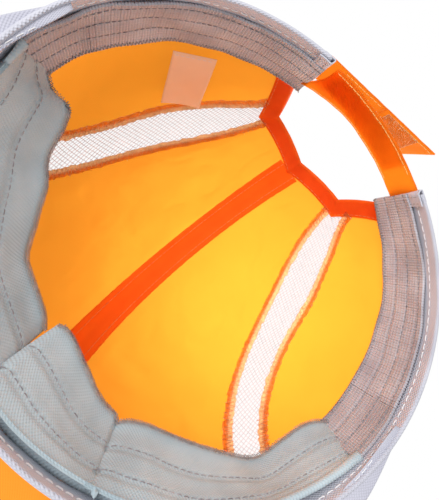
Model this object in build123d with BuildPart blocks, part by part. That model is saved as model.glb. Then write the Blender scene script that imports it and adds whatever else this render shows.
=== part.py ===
"""Soft peaked outdoor cap with mesh vents and a hook-and-loop strap.

Millimetres. +Z is up through the crown, the peak points to -Y, and +X is the wearer's left.
The origin is the centre of the head opening, on the plane that the rim rests on.
"""

import os

from build123d import *

os.makedirs("parts", exist_ok=True)

# Head opening and crown
RIM_HALF_WIDTH = 100.0
RIM_HALF_LENGTH = 88.0
CROWN_HEIGHT = 122.0
BULGE = 3.5  # how far the wall stands out past the rim
BULGE_HEIGHT = 30.0  # height of the widest girth
DOME_FOOT = -1.0  # drawn past the rim, so that the hem's lower face is cut flat

# Cloth layers, as depths measured inwards from the crown's outer face
CLOTH = 0.8
TAPE_DEPTH = CLOTH + 0.5
HEM_DEPTH = CLOTH + 0.8
HEM_OUTSIDE = -0.6
BAND_THICKNESS = 1.2

# Rim hem and sweatband
HEM_HEIGHT = 12.0
HEM_FOLD = 0.8
BAND_FOOT = 8.0
BAND_TOP = 40.0
FRONT_BAND_TOP_HALF_WIDTH = 95.0
FRONT_BAND_TOP_HALF_LENGTH = 68.0
FRONT_BAND_FOOT_GROWTH = 1.6 - HEM_DEPTH  # the wall's own radius at the sweatband's foot
FRONT_BAND_END_Y = -12.0
SIDE_BAND_FRONT_Y = -9.0
CENTRE_SECTION_LEFT_X = 16.0
CENTRE_SECTION_RIGHT_X = -24.0
SECTION_GAP = 0.4

# Seams in plan, wearer's left, from the back arch towards the front of the rim
UPPER_SEAM = [(27, 88), (60, 25), (77.5, -35), (87, -78)]
LOWER_SEAM = [(33, 88), (38.3, 79.3), (60, 59), (76, 30), (89.5, -25), (97, -78)]
SEAM_BAND_HALF_WIDTH = 2.4
CENTRE_TAPE_HALF_WIDTH = 8.5

# Back arch, seen from behind
ARCH_HALF_FOOT = 38.0
ARCH_FOOT_HEIGHT = 34.0
ARCH_HALF_SHOULDER = 30.0
ARCH_SHOULDER_HEIGHT = 60.0
ARCH_APEX_HEIGHT = 70.0
BINDING_WIDTH = 8.5
BINDING_EDGE = 0.5

# Peak
PEAK_SIDE = [(99.5, 8), (105, -30), (91, -90), (52, -134), (0, -150)]
PEAK_ARCH = 6.0
PEAK_ARCH_HALF_WIDTH = 110.0
COVER = 0.6
BOARD = 1.6
FACING_WIDTH = 10.0
FACING_EDGE = 1.0

# Strap and its corner tabs
STRAP_FOOT = 3.0
STRAP_HEIGHT = 17.0
STRAP_THICKNESS = 1.0
TAB_HALF_SPAN = 33.4  # the strap's fold lines stand this far from the middle
TAB_OUTER_X = 38.0
TAB_TOP = 19.6
FOLD_GAP = 0.8
OUTER_STRAP_START_Y = 85.8
OUTER_STRAP_SLOPE = 17.2 / 60.0
OUTER_STRAP_JOINT_X = 4.0
OUTER_STRAP_TIP_X = -27.0
INNER_STRAP_GROWTH = 1.1  # the inner strap hangs plumb, just outside the rim's own ellipse
PATCH = 0.5

# Care label
LABEL_WIDTH = 21.0
LABEL_LENGTH = 36.0
LABEL_THICKNESS = 0.4
LABEL_FOOT = Vector(76.0, 53.0, BAND_TOP + 0.8)
LABEL_HEAD = Vector(68.0, 45.0, BAND_TOP + 35.0)

# Cutting prisms reach past the crown on every side
CUTTER_TOP = CROWN_HEIGHT + 10
CUTTER_REACH = 1.3 * RIM_HALF_WIDTH


def dome(depth):
    """Solid filled by the crown when its surface is moved inwards by depth."""
    half_width = RIM_HALF_WIDTH - depth
    with BuildPart() as solid:
        with BuildSketch(Plane.XZ):
            with BuildLine():
                wall = TangentArc((half_width + BULGE, BULGE_HEIGHT), (half_width, 0), tangent=(0, -1))
                roof = EllipticalCenterArc(
                    (0, BULGE_HEIGHT),
                    half_width + BULGE,
                    CROWN_HEIGHT - BULGE_HEIGHT - depth,
                    start_angle=0,
                    arc_size=90,
                )
                Polyline(roof @ 1, (0, DOME_FOOT), (half_width, DOME_FOOT), wall @ 1)
            make_face()
        revolve(axis=Axis.Z)
        scale(by=(1, RIM_HALF_LENGTH / RIM_HALF_WIDTH, 1))
    return solid.part


def shell(outer_depth, inner_depth):
    """Layer of the crown between two depths."""
    with BuildPart() as layer:
        add(dome(outer_depth))
        add(dome(inner_depth), mode=Mode.SUBTRACT)
    return layer.part


def arch_prism(growth):
    """Wedge behind the crown that cuts the back arch, its outline moved outwards by growth."""
    with BuildPart() as prism:
        with BuildSketch(Plane.XZ):
            with BuildLine():
                Polyline(
                    (-ARCH_HALF_FOOT - growth, -1),
                    (-ARCH_HALF_FOOT - growth, ARCH_FOOT_HEIGHT),
                    (-ARCH_HALF_SHOULDER - growth, ARCH_SHOULDER_HEIGHT + growth / 2),
                    (0, ARCH_APEX_HEIGHT + growth),
                    (ARCH_HALF_SHOULDER + growth, ARCH_SHOULDER_HEIGHT + growth / 2),
                    (ARCH_HALF_FOOT + growth, ARCH_FOOT_HEIGHT),
                    (ARCH_HALF_FOOT + growth, -1),
                    close=True,
                )
            make_face()
        extrude(amount=-RIM_HALF_LENGTH - 30)
    return prism.part


def between_seams(first, second):
    """Tall prism over the crown between two plan seams."""
    with BuildPart() as prism:
        with BuildSketch(Plane.XY.offset(HEM_FOLD)):
            with BuildLine():
                near = Spline(*first)
                far = Spline(*second)
                Line(near @ 0, far @ 0)
                Line(near @ 1, far @ 1)
            make_face()
        extrude(amount=CUTTER_TOP)
    return prism.part


def beside_seam(seam, far_x):
    """Tall prism over the crown between one plan seam and the straight line at far_x."""
    with BuildPart() as prism:
        with BuildSketch(Plane.XY.offset(HEM_FOLD)):
            with BuildLine():
                near = Spline(*seam)
                Polyline(
                    near @ 0,
                    (seam[0][0], CUTTER_REACH),
                    (far_x, CUTTER_REACH),
                    (far_x, -CUTTER_REACH),
                    (seam[-1][0], -CUTTER_REACH),
                    near @ 1,
                )
            make_face()
        extrude(amount=CUTTER_TOP)
    return prism.part


def seam_strip(seam):
    """Tall prism that follows a plan seam, as wide as its overlocked allowance."""
    with BuildPart() as prism:
        with BuildSketch(Plane.XY.offset(HEM_HEIGHT)):
            with BuildLine():
                inboard = Spline(*[(x - SEAM_BAND_HALF_WIDTH, y) for x, y in seam])
                outboard = Spline(*[(x + SEAM_BAND_HALF_WIDTH, y) for x, y in seam])
                Line(inboard @ 0, outboard @ 0)
                Line(inboard @ 1, outboard @ 1)
            make_face()
        extrude(amount=CUTTER_TOP)
    return prism.part


def save(builder, name):
    """Label a finished piece and write it as its own STEP file."""
    builder.part.label = name
    export_step(builder.part, f"parts/{name}.step")


def save_both(builder, pattern):
    """Write the wearer's-left piece and its mirror image; pattern holds {} for the side."""
    save(builder, pattern.format("left"))
    with BuildPart() as right:
        add(builder.part)
        mirror(about=Plane.YZ, mode=Mode.REPLACE)
    save(right, pattern.format("right"))


# Crown cloth: two top panels, two mesh strips and two side panels
cloth_shell = shell(0, CLOTH)
tape_shell = shell(CLOTH, TAPE_DEPTH)
arch_cut = arch_prism(0)
arch_cloth_cut = arch_prism(BINDING_EDGE)
arch_tape_cut = arch_prism(BINDING_WIDTH)

with BuildPart() as crown_panel:
    add(cloth_shell)
    add(beside_seam(UPPER_SEAM, 0), mode=Mode.INTERSECT)
    add(arch_cloth_cut, mode=Mode.SUBTRACT)
save_both(crown_panel, "crown_panel_{}")

with BuildPart() as mesh_strip:
    add(cloth_shell)
    add(between_seams(UPPER_SEAM, LOWER_SEAM), mode=Mode.INTERSECT)
    add(arch_cloth_cut, mode=Mode.SUBTRACT)
save_both(mesh_strip, "mesh_strip_{}")

with BuildPart() as side_panel:
    add(cloth_shell)
    add(beside_seam(LOWER_SEAM, 1.2 * RIM_HALF_WIDTH), mode=Mode.INTERSECT)
    add(arch_cloth_cut, mode=Mode.SUBTRACT)
save_both(side_panel, "side_panel_{}")

# Seam allowances beside the mesh, the tape over the centre seam and the arch binding
for level, seam in (("upper", UPPER_SEAM), ("lower", LOWER_SEAM)):
    with BuildPart() as seam_band:
        add(tape_shell)
        add(seam_strip(seam), mode=Mode.INTERSECT)
        add(arch_tape_cut, mode=Mode.SUBTRACT)
    save_both(seam_band, "seam_band_{}_" + level)

with BuildPart() as centre_seam_tape:
    add(tape_shell)
    with BuildSketch(Plane.XY.offset(HEM_HEIGHT)):
        Rectangle(2 * CENTRE_TAPE_HALF_WIDTH, 3 * RIM_HALF_LENGTH)
    extrude(amount=CUTTER_TOP, mode=Mode.INTERSECT)
    add(arch_tape_cut, mode=Mode.SUBTRACT)
save(centre_seam_tape, "centre_seam_tape")

with BuildPart() as arch_binding:
    add(shell(-BINDING_EDGE, TAPE_DEPTH))
    add(arch_tape_cut, mode=Mode.INTERSECT)
    add(arch_cut, mode=Mode.SUBTRACT)
    with BuildSketch(Plane.XY.offset(HEM_HEIGHT)):
        Rectangle(3 * RIM_HALF_WIDTH, 3 * RIM_HALF_LENGTH)
    extrude(amount=CUTTER_TOP, mode=Mode.INTERSECT)
    for cloth in (crown_panel, mesh_strip, side_panel):
        add(cloth.part, mode=Mode.SUBTRACT)
        add(mirror(cloth.part, about=Plane.YZ, mode=Mode.PRIVATE), mode=Mode.SUBTRACT)
save(arch_binding, "arch_binding")

# Hem folded round the crown's lower edge
with BuildPart() as rim_band:
    add(shell(HEM_OUTSIDE, HEM_DEPTH))
    with BuildSketch():
        Rectangle(3 * RIM_HALF_WIDTH, 3 * RIM_HALF_LENGTH)
    extrude(amount=HEM_HEIGHT, mode=Mode.INTERSECT)
    add(arch_cloth_cut, mode=Mode.SUBTRACT)
    for cloth in (crown_panel, mesh_strip, side_panel):
        add(cloth.part, mode=Mode.SUBTRACT)
        add(mirror(cloth.part, about=Plane.YZ, mode=Mode.PRIVATE), mode=Mode.SUBTRACT)
save(rim_band, "rim_band")

# Sweatband: ribbed elastic along the sides, smooth sections leaning in across the front
with BuildPart() as sweatband_side:
    add(shell(HEM_DEPTH, HEM_DEPTH + BAND_THICKNESS))
    with BuildSketch(Plane.XY.offset(BAND_FOOT)):
        with Locations((0, SIDE_BAND_FRONT_Y)):
            Rectangle(1.2 * RIM_HALF_WIDTH, 120, align=(Align.MIN, Align.MIN))
    extrude(amount=BAND_TOP - BAND_FOOT, mode=Mode.INTERSECT)
    add(arch_prism(0.4), mode=Mode.SUBTRACT)
save_both(sweatband_side, "sweatband_side_{}")


def front_band_solid(thickness):
    """Solid inside the leaning front sweatband, its surface moved inwards by thickness."""
    foot = FRONT_BAND_FOOT_GROWTH - thickness
    ratio = RIM_HALF_LENGTH / RIM_HALF_WIDTH
    with BuildPart() as solid:
        with BuildSketch(Plane.XY.offset(BAND_FOOT)):
            Ellipse(RIM_HALF_WIDTH + foot, (RIM_HALF_WIDTH + foot) * ratio)
        with BuildSketch(Plane.XY.offset(BAND_TOP)):
            Ellipse(FRONT_BAND_TOP_HALF_WIDTH - thickness, FRONT_BAND_TOP_HALF_LENGTH - thickness)
        loft()
    return solid.part


FRONT_SECTIONS = {
    "sweatband_front_left": (CENTRE_SECTION_LEFT_X + SECTION_GAP, RIM_HALF_WIDTH + 5),
    "sweatband_front": (CENTRE_SECTION_RIGHT_X, CENTRE_SECTION_LEFT_X),
    "sweatband_front_right": (-RIM_HALF_WIDTH - 5, CENTRE_SECTION_RIGHT_X - SECTION_GAP),
}
for name, (low_x, high_x) in FRONT_SECTIONS.items():
    with BuildPart() as section:
        add(front_band_solid(0))
        add(front_band_solid(BAND_THICKNESS), mode=Mode.SUBTRACT)
        with BuildSketch(Plane.XY.offset(BAND_FOOT)):
            with Locations(((low_x + high_x) / 2, FRONT_BAND_END_Y)):
                Rectangle(high_x - low_x, RIM_HALF_LENGTH, align=(Align.CENTER, Align.MAX))
        extrude(amount=BAND_TOP, mode=Mode.INTERSECT)
    save(section, name)

# Peak: board between two covers, with a folded facing round its edge


def peak_layer(low, high, edge_inset):
    """Arched sheet of the peak between two heights, its outline moved inwards by edge_inset."""
    across = 1 - edge_inset / PEAK_SIDE[1][0]
    along = 1 - edge_inset / (PEAK_SIDE[1][1] - PEAK_SIDE[-1][1])
    outline = [(x * across, PEAK_SIDE[1][1] + (y - PEAK_SIDE[1][1]) * along) for x, y in PEAK_SIDE]
    with BuildPart() as sheet:
        with BuildSketch(Plane.XZ.offset(-PEAK_SIDE[0][1])):
            with BuildLine():
                under = ThreePointArc(
                    (-PEAK_ARCH_HALF_WIDTH, low), (0, PEAK_ARCH + low), (PEAK_ARCH_HALF_WIDTH, low)
                )
                upper = ThreePointArc(
                    (-PEAK_ARCH_HALF_WIDTH, high), (0, PEAK_ARCH + high), (PEAK_ARCH_HALF_WIDTH, high)
                )
                Line(under @ 0, upper @ 0)
                Line(under @ 1, upper @ 1)
            make_face()
        extrude(amount=170)
        with BuildSketch():
            with BuildLine():
                side = Spline(*outline, tangents=[(0.25, -1), (-1, 0)])
                mirror(about=Plane.YZ)
                Line((-outline[0][0], outline[0][1]), side @ 0)
            make_face()
        extrude(amount=30, mode=Mode.INTERSECT)
        add(dome(HEM_OUTSIDE), mode=Mode.SUBTRACT)
    return sheet.part


board_top = COVER + BOARD
peak_top = board_top + COVER

with BuildPart() as peak_under_cover:
    add(peak_layer(0, COVER, FACING_WIDTH))
save(peak_under_cover, "peak_under_cover")

with BuildPart() as peak_board:
    add(peak_layer(COVER, board_top, FACING_EDGE))
save(peak_board, "peak_board")

with BuildPart() as peak_top_cover:
    add(peak_layer(board_top, peak_top, FACING_EDGE))
save(peak_top_cover, "peak_top_cover")

with BuildPart() as peak_edge_facing:
    add(peak_layer(0, peak_top, 0))
    for piece in (peak_under_cover, peak_board, peak_top_cover):
        add(piece.part, mode=Mode.SUBTRACT)
save(peak_edge_facing, "peak_edge_facing")

# Corner tabs that enclose the strap's sewn roots
with BuildPart() as corner_tab:
    add(shell(HEM_OUTSIDE, HEM_DEPTH + BAND_THICKNESS))
    with BuildSketch(Plane.XY.offset(HEM_FOLD)):
        with Locations((TAB_HALF_SPAN, 0)):
            Rectangle(TAB_OUTER_X - TAB_HALF_SPAN, 120, align=(Align.MIN, Align.MIN))
    extrude(amount=TAB_TOP - HEM_FOLD, mode=Mode.INTERSECT)
save_both(corner_tab, "corner_tab_{}")

# Inner strap, sewn at the wearer's right, with its pointed end free at the left
inner_start_x = -TAB_HALF_SPAN + 2 * FOLD_GAP
strap_top = STRAP_FOOT + STRAP_HEIGHT


def inner_strap_layer(outer_growth, inner_growth, *outline):
    """Plumb curved strip behind the opening whose outline is drawn as seen from the front."""
    ratio = RIM_HALF_LENGTH / RIM_HALF_WIDTH
    with BuildPart() as strip:
        with BuildSketch():
            Ellipse(RIM_HALF_WIDTH + outer_growth, (RIM_HALF_WIDTH + outer_growth) * ratio)
            Ellipse(
                RIM_HALF_WIDTH + inner_growth,
                (RIM_HALF_WIDTH + inner_growth) * ratio,
                mode=Mode.SUBTRACT,
            )
        extrude(amount=BAND_TOP)
        with BuildSketch(Plane.XZ):
            with BuildLine():
                Polyline(*outline, close=True)
            make_face()
        extrude(amount=-RIM_HALF_LENGTH - 30, mode=Mode.INTERSECT)
    return strip.part


with BuildPart() as strap_inner:
    add(
        inner_strap_layer(
            INNER_STRAP_GROWTH,
            INNER_STRAP_GROWTH - STRAP_THICKNESS,
            (inner_start_x, STRAP_FOOT),
            (30.5, STRAP_FOOT),
            (30.5, strap_top),
            (36.0, strap_top + 6.0),
            (28.0, strap_top + 4.6),
            (12.0, strap_top + 0.6),
            (inner_start_x, strap_top),
        )
    )
save(strap_inner, "strap_inner")

with BuildPart() as loop_patch:
    add(
        inner_strap_layer(
            INNER_STRAP_GROWTH + PATCH,
            INNER_STRAP_GROWTH,
            (-22.0, STRAP_FOOT + 1),
            (28.0, STRAP_FOOT + 1),
            (28.0, strap_top - 1),
            (-22.0, strap_top - 1),
        )
    )
save(loop_patch, "loop_patch")


# Outer strap, sewn at the wearer's left, in two stretches so that its end can peel
def outer_strap_y(x):
    """Middle of the outer strap's thickness at x."""
    return OUTER_STRAP_START_Y + (TAB_HALF_SPAN - x) * OUTER_STRAP_SLOPE


def outer_strap_plan(start_x, end_x, near, far):
    """Straight stretch of the strap in plan between two offsets from its middle."""
    with BuildPart() as bar:
        with BuildSketch(Plane.XY.offset(STRAP_FOOT)):
            with BuildLine():
                Polyline(
                    (start_x, outer_strap_y(start_x) + near),
                    (end_x, outer_strap_y(end_x) + near),
                    (end_x, outer_strap_y(end_x) + far),
                    (start_x, outer_strap_y(start_x) + far),
                    close=True,
                )
            make_face()
        extrude(amount=STRAP_HEIGHT)
    return bar.part


half_strap = STRAP_THICKNESS / 2
with BuildPart() as strap_outer:
    add(outer_strap_plan(TAB_HALF_SPAN - 2 * FOLD_GAP, OUTER_STRAP_JOINT_X + FOLD_GAP, -half_strap, half_strap))
save(strap_outer, "strap_outer")

with BuildPart() as strap_outer_end:
    add(outer_strap_plan(OUTER_STRAP_JOINT_X - FOLD_GAP, OUTER_STRAP_TIP_X, -half_strap, half_strap))
    with BuildSketch(Plane.XZ.offset(-RIM_HALF_LENGTH)):
        with BuildLine():
            Polyline(
                (OUTER_STRAP_TIP_X - 1, STRAP_FOOT + 2),
                (OUTER_STRAP_TIP_X + 8, strap_top + 1),
                (OUTER_STRAP_TIP_X - 1, strap_top + 1),
                close=True,
            )
        make_face()
    extrude(amount=30, both=True, mode=Mode.SUBTRACT)
save(strap_outer_end, "strap_outer_end")

with BuildPart() as hook_patch:
    add(outer_strap_plan(OUTER_STRAP_JOINT_X - 3, OUTER_STRAP_TIP_X + 9, -half_strap - PATCH, -half_strap))
    with BuildSketch(Plane.XY.offset(STRAP_FOOT + 1)):
        Rectangle(3 * RIM_HALF_WIDTH, 4 * RIM_HALF_LENGTH)
    extrude(amount=STRAP_HEIGHT - 2, mode=Mode.INTERSECT)
save(hook_patch, "hook_patch")

# Care label standing from the sweatband's top edge
label_up = (LABEL_HEAD - LABEL_FOOT).normalized()
label_across = Vector(-0.66, 0.75, 0).normalized()
label_plane = Plane(origin=LABEL_FOOT, x_dir=label_across, z_dir=label_across.cross(label_up))
with BuildPart() as care_label:
    with BuildSketch(label_plane):
        Rectangle(LABEL_WIDTH, LABEL_LENGTH, align=(Align.CENTER, Align.MIN))
    extrude(amount=LABEL_THICKNESS / 2, both=True)
save(care_label, "care_label")
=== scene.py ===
"""Soft peaked outdoor cap with mesh vents and a hook-and-loop strap, lying spread on its rim.

Metres. +Z is up through the crown, the peak points to -Y, and +X is the wearer's left.
The origin is the centre of the head opening, on the plane that the rim rests on.
"""

import math
import random

import bmesh
import bpy
from mathutils import Matrix, Vector, noise


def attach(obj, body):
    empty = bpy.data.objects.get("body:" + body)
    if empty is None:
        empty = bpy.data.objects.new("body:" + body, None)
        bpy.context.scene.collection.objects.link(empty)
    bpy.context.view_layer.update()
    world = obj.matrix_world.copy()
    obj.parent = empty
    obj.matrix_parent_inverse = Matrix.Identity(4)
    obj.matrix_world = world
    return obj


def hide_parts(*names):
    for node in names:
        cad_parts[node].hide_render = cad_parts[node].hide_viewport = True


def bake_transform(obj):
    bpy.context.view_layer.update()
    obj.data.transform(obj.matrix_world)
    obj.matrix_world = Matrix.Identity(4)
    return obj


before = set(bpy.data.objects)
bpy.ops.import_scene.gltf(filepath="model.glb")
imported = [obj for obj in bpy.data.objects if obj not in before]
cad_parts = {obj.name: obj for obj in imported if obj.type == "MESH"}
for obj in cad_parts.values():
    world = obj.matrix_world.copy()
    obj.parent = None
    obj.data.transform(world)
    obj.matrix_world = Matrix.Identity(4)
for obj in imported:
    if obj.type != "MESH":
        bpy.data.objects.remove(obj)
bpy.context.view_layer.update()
random.seed(7)

# ---------------------------------------------------------------- sizes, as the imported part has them
MM = 0.001
OVAL = 0.88  # front-to-back size of the opening over its width
RIM = 100 * MM
BULGE = 3.5 * MM
BULGE_Z = 30 * MM
WIDEST = RIM + BULGE
ROOF = 92 * MM
HEART = Vector((0, 0, BULGE_Z))

CLOTH = 0.8 * MM
TAPE = 0.5 * MM
HEM_IN = 1.6 * MM
HEM_OUT = -0.6 * MM
HEM_Z = 12 * MM
BAND = 1.2 * MM
BAND_FOOT_Z = 8 * MM
BAND_TOP_Z = 40 * MM

UPPER_SEAM = [(27, 88), (60, 25), (77.5, -35), (87, -78)]
LOWER_SEAM = [(33, 88), (40.4, 79.6), (60, 59), (76, 30), (89.5, -25), (97, -78)]
SEAM_WIDTH = 4.8 * MM
TAPE_WIDTH = 17 * MM
BINDING_WIDTH = 8.5 * MM
ARCH = [(-38, 12), (-38, 34), (-30, 60), (0, 70), (30, 60), (38, 34), (38, 12)]

PEAK_EDGE = [(99.5, 8), (105, -30), (91, -90), (52, -134), (0, -150)]
PEAK_RISE = 6 * MM
PEAK_REACH = 110 * MM

STRAP_LOW, STRAP_HIGH = 3 * MM, 20 * MM
TAB_FOLD_X, TAB_END_X, TAB_HIGH = 33.4 * MM, 38 * MM, 19.6 * MM
SIDES = (("left", 1), ("right", -1))


# ---------------------------------------------------------------- lines and places on the crown
def mm(*numbers):
    """A point written in millimetres."""
    return Vector(numbers) * MM


def girth(z):
    """Half width of the crown's outer face at height z."""
    if z > BULGE_Z:
        return WIDEST * math.sqrt(max(0.0, 1 - ((z - BULGE_Z) / ROOF) ** 2))
    sweep = (BULGE_Z**2 + BULGE**2) / (2 * BULGE)
    return WIDEST - sweep + math.sqrt(sweep**2 - (BULGE_Z - z) ** 2)


def wall(turn, z, depth=0.0):
    """Point on the crown's wall at a turn in degrees from the wearer's left, depth inside its face."""
    reach, turn = girth(z) - depth, math.radians(turn)
    return Vector((reach * math.cos(turn), OVAL * reach * math.sin(turn), z))


def on_crown(point, depth=0.0):
    """The point moved onto the crown, depth inside its outer face."""
    x, y, z = point
    if z <= BULGE_Z:
        share = (girth(z) - depth) / math.hypot(x, y / OVAL)
        return Vector((x * share, y * share, z))
    wide, high = WIDEST - depth, ROOF - depth
    share = 1 / math.sqrt((x / wide) ** 2 + (y / wide / OVAL) ** 2 + ((z - BULGE_Z) / high) ** 2)
    return Vector((x * share, y * share, BULGE_Z + (z - BULGE_Z) * share))


def behind(x, z, depth=0.0):
    """Point on the back of the crown at x and z."""
    return Vector((x, OVAL * math.sqrt(max(0.0, (girth(z) - depth) ** 2 - x * x)), z))


def outside_arch(point):
    """How far a point behind the crown stands outside the arch."""
    x, z = abs(point.x) / MM, point.z / MM
    slope = ((x - 38) * 26 + (z - 34) * 8) / math.hypot(26, 8)
    roof = ((x - 30) * 10 + (z - 60) * 30) / math.hypot(10, 30)
    return max(x - 38, slope, roof) * MM if point.y > 0 else 1.0


def smooth(points, steps=12):
    """Smooth line through a few points."""
    ends = [2 * points[0] - points[1], *points, 2 * points[-1] - points[-2]]
    line = []
    for a, b, c, d in zip(ends, ends[1:], ends[2:], ends[3:]):
        for k in range(steps):
            t = k / steps
            bend = (2 * a - 5 * b + 4 * c - d) * t * t + (3 * b - a - 3 * c + d) * t**3
            line.append(0.5 * (2 * b + (c - a) * t + bend))
    return line + [points[-1]]


def even(points, count=160):
    """The same line, its points spaced evenly."""
    reach = [0.0]
    for a, b in zip(points, points[1:]):
        reach.append(reach[-1] + (b - a).length)
    spaced, i = [], 0
    for k in range(count):
        want = reach[-1] * k / (count - 1)
        while i < len(points) - 2 and reach[i + 1] < want:
            i += 1
        share = (want - reach[i]) / max(reach[i + 1] - reach[i], 1e-9)
        spaced.append(points[i].lerp(points[i + 1], min(1.0, share)))
    return spaced


def along(line, t):
    """Point at share t of an evenly spaced line."""
    step = min(max(t, 0.0), 1.0) * (len(line) - 1)
    i = min(int(step), len(line) - 2)
    return line[i].lerp(line[i + 1], step - i)


def length(line):
    return sum((b - a).length for a, b in zip(line, line[1:]))


def mirrored(line, side):
    return [Vector((p.x * side, p.y, p.z)) for p in line]


def seam_line(plan):
    """Where a seam drawn in plan lies on the wearer's left of the crown, from the arch to the hem."""
    drawn = smooth([mm(x, y) for x, y in plan], 60)
    line = []
    for flat in drawn:
        reach = math.hypot(flat.x, flat.y / OVAL) / WIDEST
        if reach < 1:
            line.append(Vector((flat.x, flat.y, BULGE_Z + ROOF * math.sqrt(1 - reach**2))))
        elif line:
            break
    line = [p for p in line if outside_arch(p) > 0.5 * MM]
    turn = math.degrees(math.atan2(line[-1].y / OVAL, line[-1].x))
    line += [wall(turn - 2 * (1 - k / 8), 0.5 * MM + k / 8 * line[-1].z) for k in range(7, -1, -1)]
    return even(line)


def ripple(point, size, height, seed=0.0):
    """Soft uneven rise of cloth at a point, for wrinkles about size apart."""
    return noise.noise(Vector(point) / size + Vector((seed, 1.7 * seed, 0))) * height


def dented(point, inward, toward=HEART):
    """The point moved inward, away from the crown's face."""
    return point + (toward - point).normalized() * inward


def patch(near, far, start, end):
    """Place function of a cloth panel between four lines that meet at its corners."""

    def place(u, w):
        sides = near(w).lerp(far(w), u) + start(u).lerp(end(u), w)
        return sides - start(0).lerp(end(0), w).lerp(start(1).lerp(end(1), w), u)

    return place


# ---------------------------------------------------------------- making pieces
def finished(piece, look, body, stands_for):
    """Give a finished piece its material, its body and the CAD nodes it stands for."""
    piece.data.materials.clear()
    piece.data.materials.append(look)
    if body:
        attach(piece, body)
    if stands_for:
        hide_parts(*stands_for)
    return piece


def new_object(name, data):
    piece = bpy.data.objects.new(name, data)
    bpy.context.scene.collection.objects.link(piece)
    return piece


def mesh_of(name, made):
    """Object with the finished bmesh, shaded smooth."""
    for face in made.faces:
        face.smooth = True
    mesh = bpy.data.meshes.new(name)
    made.to_mesh(mesh)
    made.free()
    return new_object(name, mesh)


def cloth(name, place, cells, cut, thick, look, body="cap", stands_for=(),
          back_to=HEART):
    """Sheet whose outer face is place(across, along), cut to width and length, thickening inwards.

    Its first row of cells faces away from back_to.
    """
    made = bmesh.new()
    uv = made.loops.layers.uv.new("cut")
    bmesh.ops.create_grid(made, x_segments=cells[0], y_segments=cells[1], size=0.5)
    for face in made.faces:
        for corner in face.loops:
            spot = corner.vert.co
            corner[uv].uv = (spot.x + 0.5) * cut[0], (spot.y + 0.5) * cut[1]
    first_row = [f for f in made.faces if f.calc_center_median().x < -0.5 + 1.01 / cells[0]]
    for spot in made.verts:
        spot.co = place(spot.co.x + 0.5, spot.co.y + 0.5)
    made.normal_update()
    if sum(f.normal.dot(f.calc_center_median() - back_to) * f.calc_area() for f in first_row) < 0:
        bmesh.ops.reverse_faces(made, faces=made.faces)
    bmesh.ops.remove_doubles(made, verts=made.verts, dist=0.01 * MM)
    area = sum(f.calc_area() for f in made.faces)
    piece = mesh_of(name, made)
    if thick:
        wall_of = piece.modifiers.new("cloth_thickness", "SOLIDIFY")
        wall_of.thickness, wall_of.offset = thick, -1
    finished(piece, look, body, stands_for)
    return piece


def threads(name, runs, radius, look, body="cap", stands_for=(), sides=6):
    """Sewing threads: each run is a short line of points."""
    curve = bpy.data.curves.new(name, "CURVE")
    curve.dimensions = "3D"
    curve.bevel_depth = radius
    curve.bevel_resolution = (sides - 4) // 2
    curve.use_fill_caps = True
    for run in runs:
        spline = curve.splines.new("POLY")
        spline.points.add(len(run) - 1)
        for spot, point in zip(spline.points, run):
            spot.co = (*point, 1)
    return finished(new_object(name, curve), look, body, stands_for)


def stitch_runs(line, stitch=2.3 * MM, gap=0.9 * MM, dip=0.25 * MM, towards=HEART, lift=0.0):
    """Running stitches along a line: thread on the near face that dips in between stitches."""
    total, runs, spot = length(line), [], 0.3 * MM
    line = even(line, max(80, int(total / (0.8 * MM))))
    while spot + stitch < total:
        run = []
        for share, rise in ((0, -dip), (0.2, 0.0), (0.8, 0.0), (1, -dip)):
            point = along(line, (spot + share * stitch * random.uniform(0.97, 1.0)) / total)
            run.append(point + (towards - point).normalized() * (rise + lift))
        runs.append(run)
        spot += stitch + gap * random.uniform(0.8, 1.2)
    return runs


def zigzag(line, half_width, pitch, out_from=HEART, phase=0.0, loose=0.12, lift=0.0):
    """Overlock thread that crosses a seam allowance to and fro along a line."""
    total = length(line)
    steps = int(total / pitch)
    run = []
    for k in range(steps + 1):
        t = k / steps
        here, ahead = along(line, t), along(line, min(1, t + 0.004))
        if t > 0.99:
            here, ahead = along(line, t - 0.004), here
        up = (here - out_from).normalized()
        across = (ahead - here).cross(up).normalized()
        sway = (1 if (k + phase) % 2 < 1 else -1) * half_width * random.uniform(1 - loose, 1 + loose)
        run.append(along(line, t) + across * sway - up * (lift + random.uniform(0, 0.1) * MM))
    return run


# ---------------------------------------------------------------- finishes
def ink(red, green, blue):
    """Colour as the eye reads it on a screen, 0 to 255, made linear."""
    parts = [c / 255 for c in (red, green, blue)]
    return [c / 12.92 if c < 0.04045 else ((c + 0.055) / 1.055) ** 2.4 for c in parts] + [1]


def add(tree, kind, inputs=(), **settings):
    """New shader node with its settings, and its inputs set to a value or linked to a socket."""
    made = tree.nodes.new("ShaderNode" + kind)
    for key, value in settings.items():
        setattr(made, key, value)
    for key, value in dict(inputs).items():
        if isinstance(value, bpy.types.NodeSocket):
            tree.links.new(value, made.inputs[key])
        else:
            made.inputs[key].default_value = value
    return made


def maths(tree, operation, first, second=0.0):
    return add(tree, "Math", {0: first, 1: second}, operation=operation).outputs[0]


def blended(tree, share, first, second, way="MIX"):
    """Colour between two, by share."""
    made = add(tree, "Mix", {0: share, 6: first, 7: second}, data_type="RGBA", blend_type=way)
    return made.outputs[2]


def effect(name, inputs, outputs):
    """Empty node group with named value inputs and outputs."""
    group = bpy.data.node_groups.new(name, "ShaderNodeTree")
    for title, value in inputs:
        socket = group.interface.new_socket(title, in_out="INPUT", socket_type="NodeSocketFloat")
        socket.default_value = value
    for title in outputs:
        group.interface.new_socket(title, in_out="OUTPUT", socket_type="NodeSocketFloat")
    return group, group.nodes.new("NodeGroupInput"), group.nodes.new("NodeGroupOutput")


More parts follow.
